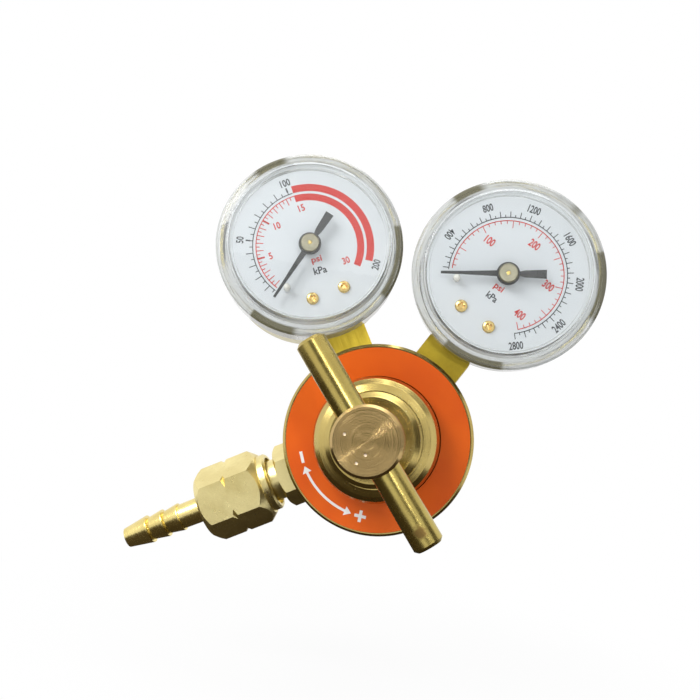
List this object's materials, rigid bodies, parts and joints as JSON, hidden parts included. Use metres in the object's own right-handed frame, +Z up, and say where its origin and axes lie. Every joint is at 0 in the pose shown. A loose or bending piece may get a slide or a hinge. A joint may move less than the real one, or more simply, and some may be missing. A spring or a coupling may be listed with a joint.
{
  "type": "acetylene regulator",
  "caption": "Brass acetylene regulator with a screw-down bonnet and cross bar, low and high pressure gauges with clear covers, an inlet nut and a barbed hose tail",
  "frame": {"origin": "on the body's axis at the open mouth of the inlet nut, where the cylinder valve enters", "axes": "+Y runs along the body's axis out of the inlet nut, towards the cylinder valve; the dials face about -Y; +Z is up, between the two gauges; +X is towards the high pressure gauge"},
  "size_m": [0.1271, 0.097, 0.1208],
  "materials": {
    "turned_brass": "turned and lightly polished brass",
    "bright_brass": "bright polished brass",
    "case_brass": "drawn brass, satin",
    "ring_orange": "satin orange print on thin metal",
    "dial_white": "matt white enamel with printed scales",
    "needle_black": "matt black paint",
    "needle_hub": "dull grey brass",
    "clear_cover": "clear moulded polycarbonate",
    "spring_steel": "drawn spring wire",
    "plain_steel": "zinc plated steel",
    "black_rubber": "smooth reinforced rubber",
    "sintered_bronze": "porous sintered bronze",
    "tube_bronze": "flattened phosphor bronze tube"
  },
  "bodies": {
    "body": {"regulator_body": "turned_brass", "bonnet": "turned_brass", "label_ring": "ring_orange", "diaphragm": "black_rubber", "main_spring": "spring_steel", "poppet_spring": "spring_steel", "seat_nozzle": "turned_brass", "inlet_nipple": "bright_brass", "inlet_filter": "sintered_bronze", "outlet_adaptor": "bright_brass", "gauge_left_socket": "turned_brass", "gauge_left_case": "case_brass", "gauge_left_lens": "clear_cover", "gauge_left_dial": "dial_white", "gauge_left_dial_screw_a": "bright_brass", "gauge_left_dial_screw_b": "bright_brass", "gauge_left_stop_pin": "plain_steel", "gauge_left_bourdon_tube": "tube_bronze", "gauge_left_movement_frame": "bright_brass", "gauge_right_socket": "turned_brass", "gauge_right_case": "case_brass", "gauge_right_lens": "clear_cover", "gauge_right_dial": "dial_white", "gauge_right_dial_screw_a": "bright_brass", "gauge_right_dial_screw_b": "bright_brass", "gauge_right_stop_pin": "plain_steel", "gauge_right_bourdon_tube": "tube_bronze", "gauge_right_movement_frame": "bright_brass"},
    "button": {"spring_button": "plain_steel"},
    "screw": {"adjusting_screw": "turned_brass", "t_bar": "turned_brass"},
    "valve": {"poppet_valve": "plain_steel", "diaphragm_plate": "plain_steel"},
    "cylinder_nut": {"inlet_nut": "bright_brass"},
    "hose_tail": {"hose_barb": "bright_brass"},
    "hose_nut": {"outlet_nut": "bright_brass"},
    "left_needle": {"gauge_left_arbor": "bright_brass", "gauge_left_pointer": "needle_black", "gauge_left_pointer_hub": "needle_hub"},
    "left_sector": {"gauge_left_sector_gear": "bright_brass"},
    "left_link": {"gauge_left_link": "bright_brass"},
    "right_needle": {"gauge_right_arbor": "bright_brass", "gauge_right_pointer": "needle_black", "gauge_right_pointer_hub": "needle_hub"},
    "right_sector": {"gauge_right_sector_gear": "bright_brass"},
    "right_link": {"gauge_right_link": "bright_brass"}
  },
  "joints": [
    {"name": "button_slide", "type": "slide", "parent": "body", "child": "button", "axis": [0, 1, 0], "range_m": [0, 0.003], "deforming": ["main_spring"]},
    {"name": "screw_turn", "type": "hinge", "parent": "button", "child": "screw", "pos_m": [0, -0.0909, 0], "axis": [0, 1, 0], "range_deg": [0, 720.1]},
    {"name": "valve_lift", "type": "slide", "parent": "body", "child": "valve", "axis": [0, 1, 0], "range_m": [0, 0.001], "stiffness_N_per_m": 1500, "springref_m": -0.002, "deforming": ["poppet_spring", "diaphragm"]},
    {"name": "cylinder_nut_spin", "type": "hinge", "parent": "body", "child": "cylinder_nut", "pos_m": [0, -0.01, 0], "axis": [0, 1, 0], "continuous": true},
    {"name": "hose_tail_slide", "type": "slide", "parent": "body", "child": "hose_tail", "axis": [-0.866, 0, -0.5], "range_m": [0, 0.00564]},
    {"name": "hose_nut_turn", "type": "hinge", "parent": "hose_tail", "child": "hose_nut", "pos_m": [0, -0.047, 0], "axis": [0.866, 0, 0.5], "range_deg": [0, 1440]},
    {"name": "left_needle_turn", "type": "hinge", "parent": "body", "child": "left_needle", "pos_m": [-0.029, -0.047, 0.05023], "axis": [-0.1385, 0.9871, -0.0799], "range_deg": [0, 254], "stiffness_Nm_per_rad": 0.002},
    {"name": "left_sector_turn", "type": "hinge", "parent": "body", "child": "left_sector", "pos_m": [-0.01851, -0.04537, 0.05222], "axis": [0.1385, -0.9871, 0.0799], "range_deg": [0, 31.88]},
    {"name": "left_link_slide", "type": "slide", "parent": "body", "child": "left_link", "axis": [-0.5, 0, 0.866], "range_m": [0, 0.00148], "deforming": ["gauge_left_bourdon_tube"]},
    {"name": "right_needle_turn", "type": "hinge", "parent": "body", "child": "right_needle", "pos_m": [0.029, -0.047, 0.05023], "axis": [0, 1, 0], "range_deg": [0, 265], "stiffness_Nm_per_rad": 0.002},
    {"name": "right_sector_turn", "type": "hinge", "parent": "body", "child": "right_sector", "pos_m": [0.03609, -0.047, 0.04208], "axis": [0, -1, 0], "range_deg": [0, 33.25]},
    {"name": "right_link_slide", "type": "slide", "parent": "body", "child": "right_link", "axis": [0.5, 0, 0.866], "range_m": [0, 0.00155], "deforming": ["gauge_right_bourdon_tube"]}
  ],
  "couplings": [
    {"joint": "screw_turn", "follows": "button_slide", "rad_per_m": 4188.8},
    {"joint": "hose_nut_turn", "follows": "hose_tail_slide", "rad_per_m": 4452.7},
    {"joint": "left_sector_turn", "follows": "left_link_slide", "rad_per_m": 372.99},
    {"joint": "left_needle_turn", "follows": "left_link_slide", "rad_per_m": 2984},
    {"joint": "right_sector_turn", "follows": "right_link_slide", "rad_per_m": 372.99},
    {"joint": "right_needle_turn", "follows": "right_link_slide", "rad_per_m": 2984}
  ]
}
